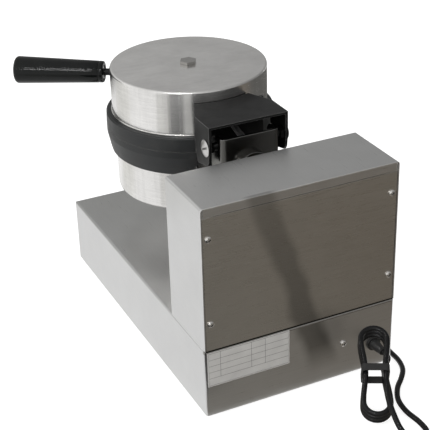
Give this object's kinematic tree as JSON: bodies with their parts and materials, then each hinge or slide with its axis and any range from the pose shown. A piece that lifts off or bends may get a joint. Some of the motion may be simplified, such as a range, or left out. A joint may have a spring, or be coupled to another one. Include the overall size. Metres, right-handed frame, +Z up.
{
  "type": "belgian waffle maker",
  "caption": "Countertop rotary waffle baker: flat steel base and rear column carry a round two-part head that turns half over and opens on a rear hinge.",
  "frame": {"origin": "on the standing surface, below the middle of the object's outline without its mains lead", "axes": "+Z up, the controls face -Y, the rear panel faces +Y, the handle points to +X and -Y"},
  "size_m": [0.3614, 0.5951, 0.3236],
  "materials": {
    "stainless": "brushed, satin",
    "dark_panel": "brushed, darker satin",
    "dark_steel": "blackened, semi-gloss",
    "bright_steel": "polished",
    "zinc_steel": "zinc plated, satin",
    "black_enamel": "black, satin",
    "black_paint": "black, semi-gloss",
    "black_bakelite": "glossy black",
    "black_plastic": "satin black",
    "red_plastic": "glossy red",
    "green_lens": "glossy green",
    "red_lens": "glossy red",
    "ceramic": "matt, off-white",
    "wire_sleeve": "matt black glass-silicone sleeve",
    "wire_red": "silicone wire",
    "bronze": "oiled bronze",
    "brass": "satin",
    "rubber": "matt black",
    "cord_rubber": "semi-gloss black",
    "heater_steel": "heat-darkened",
    "fibre": "matt white fibre"
  },
  "bodies": {
    "stand": {"base_housing": "stainless", "bottom_plate": "stainless", "rubber_feet": "rubber", "foot_screws": "zinc_steel", "plate_screws": "zinc_steel", "base_stiffener": "zinc_steel", "thermostat_body": "ceramic", "timer_body": "zinc_steel", "control_screws": "zinc_steel", "switch_body": "black_plastic", "power_lamp": "red_lens", "heating_lamp": "green_lens", "terminal_block": "ceramic", "rating_plate": "stainless", "base_wiring": "wire_red", "column_housing": "stainless", "rear_panel": "dark_panel", "rear_screws": "bright_steel", "bearing_stand": "zinc_steel", "stand_bolts": "zinc_steel", "shaft_bushes": "bronze", "stop_pins": "bright_steel", "strain_relief": "black_plastic", "power_cord": "cord_rubber", "cord_hank": "cord_rubber", "cord_tie": "rubber", "cord_tail": "cord_rubber", "mains_plug": "black_plastic", "plug_pins": "bright_steel"},
    "head": {"turning_shaft": "dark_steel", "flange_screws": "dark_steel", "shaft_collars": "dark_steel", "collar_screws": "zinc_steel", "carrier_channel": "dark_steel", "lug_bolts": "dark_steel", "lower_plate": "black_enamel", "lower_heater": "heater_steel", "lower_clamp": "zinc_steel", "lower_insulation": "fibre", "lower_cup": "stainless", "lower_cup_bolt": "bright_steel", "sensor_probe": "brass", "head_sleeve": "wire_sleeve"},
    "lid": {"lid_sleeve": "wire_sleeve", "hinge_bracket": "black_paint", "bracket_screws": "zinc_steel", "hinge_bolts": "bright_steel", "upper_plate": "black_enamel", "upper_heater": "heater_steel", "upper_clamp": "zinc_steel", "upper_insulation": "fibre", "upper_cup": "stainless", "upper_cup_bolt": "bright_steel", "handle_rod": "black_paint", "handle_nut": "zinc_steel", "handle_grip": "black_bakelite"},
    "thermostat": {"thermostat_knob": "black_bakelite"},
    "timer": {"timer_knob": "black_bakelite"},
    "rocker": {"switch_rocker": "red_plastic"}
  },
  "joints": [
    {"name": "head_turn", "type": "hinge", "parent": "stand", "child": "head", "pos_m": [-0.03692, 0.1587, 0.244], "axis": [0, 1, 0], "range_deg": [-180, 0]},
    {"name": "lid_hinge", "type": "hinge", "parent": "head", "child": "lid", "pos_m": [-0.03692, 0.0817, 0.276], "axis": [-1, 0, 0], "range_deg": [0, 90]},
    {"name": "thermostat_turn", "type": "hinge", "parent": "stand", "child": "thermostat", "pos_m": [-0.11492, -0.2113, 0.052], "axis": [0, 1, 0], "range_deg": [0, 270]},
    {"name": "timer_turn", "type": "hinge", "parent": "stand", "child": "timer", "pos_m": [0.04108, -0.2113, 0.052], "axis": [0, 1, 0], "range_deg": [0, 300]},
    {"name": "rocker_tilt", "type": "hinge", "parent": "stand", "child": "rocker", "pos_m": [-0.03692, -0.2043, 0.052], "axis": [-1, 0, 0], "range_deg": [0, 18]}
  ]
}
